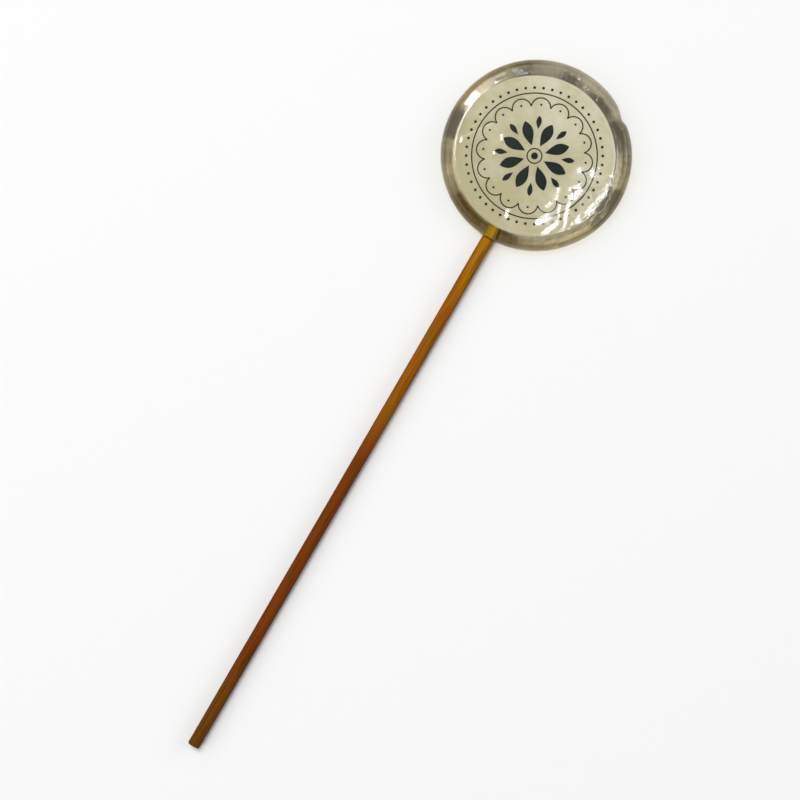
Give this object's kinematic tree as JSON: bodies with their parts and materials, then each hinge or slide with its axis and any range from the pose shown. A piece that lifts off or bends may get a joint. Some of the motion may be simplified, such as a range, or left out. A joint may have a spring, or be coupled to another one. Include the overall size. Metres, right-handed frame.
{
  "type": "lollipop",
  "caption": "Flat round lollipop of clear boiled sugar with a printed wafer-paper disc sealed in its face, on a long round wooden stick.",
  "frame": {"origin": "middle of the head's flat back, which the lollipop rests on", "axes": "+Z out of the shown face, and the stick runs along -Y"},
  "size_m": [0.06, 0.2436, 0.007],
  "materials": {
    "clear_sugar": "clear glossy boiled sugar with a grey-beige cast",
    "printed_wafer_paper": "cream edible wafer paper with a dark green-black print, wetted by the sugar above it",
    "stained_wood": "stained amber-orange near the head and red-brown at the far end, with fine fibres along it"
  },
  "bodies": {
    "root": {"candy": "clear_sugar", "wafer_paper": "printed_wafer_paper", "stick": "stained_wood"}
  },
  "joints": []
}
